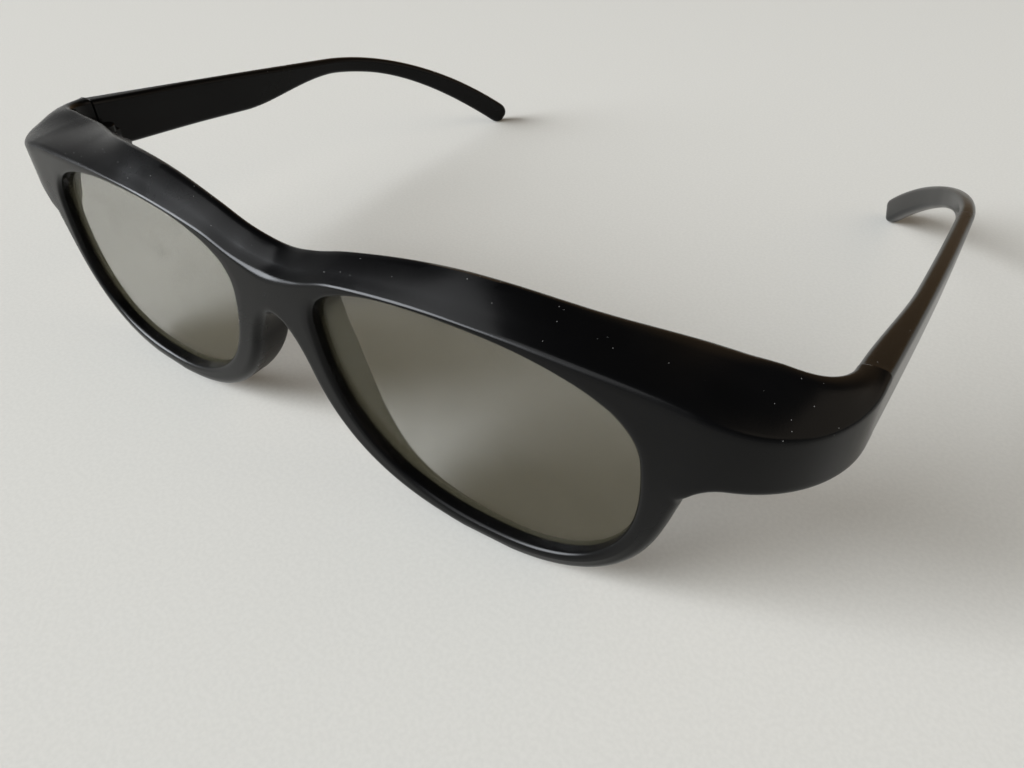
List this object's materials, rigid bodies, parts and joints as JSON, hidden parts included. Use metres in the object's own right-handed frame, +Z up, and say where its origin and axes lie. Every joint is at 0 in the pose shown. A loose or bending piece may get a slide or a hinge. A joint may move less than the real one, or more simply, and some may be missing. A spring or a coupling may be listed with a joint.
{
  "type": "3d glasses",
  "caption": "Passive 3D glasses: moulded front with a thick brow and nose flanges, temples folding on pinned hinges, and bonded polarising film lenses.",
  "frame": {"origin": "centre of the open glasses in plan, at the height of the table that the lower rims and temple tips rest on", "axes": "+X towards the wearer's left along the width, +Y from the front face back to the ears, +Z up"},
  "size_m": [0.1502, 0.1312, 0.0397],
  "materials": {
    "front": "fine matte moulded texture",
    "temples": "satin moulded",
    "pins": "drawn wire",
    "retarder": "smooth film",
    "polariser": "smooth grey film",
    "backing": "smooth clear sheet"
  },
  "bodies": {
    "front": {"front_frame": "front", "right_hinge_pin": "pins", "left_hinge_pin": "pins", "right_retarder_film": "retarder", "left_retarder_film": "retarder", "right_polariser_film": "polariser", "left_polariser_film": "polariser", "right_backing_sheet": "backing", "left_backing_sheet": "backing"},
    "right_arm": {"right_temple": "temples"},
    "left_arm": {"left_temple": "temples"}
  },
  "joints": [
    {"name": "right_temple_fold", "type": "hinge", "parent": "front", "child": "right_arm", "pos_m": [-0.0693, -0.04486, 0.0284], "axis": [0, 0, -1], "range_deg": [0, 83.5]},
    {"name": "left_temple_fold", "type": "hinge", "parent": "front", "child": "left_arm", "pos_m": [0.0693, -0.04486, 0.0284], "axis": [0, 0, 1], "range_deg": [0, 88]}
  ]
}
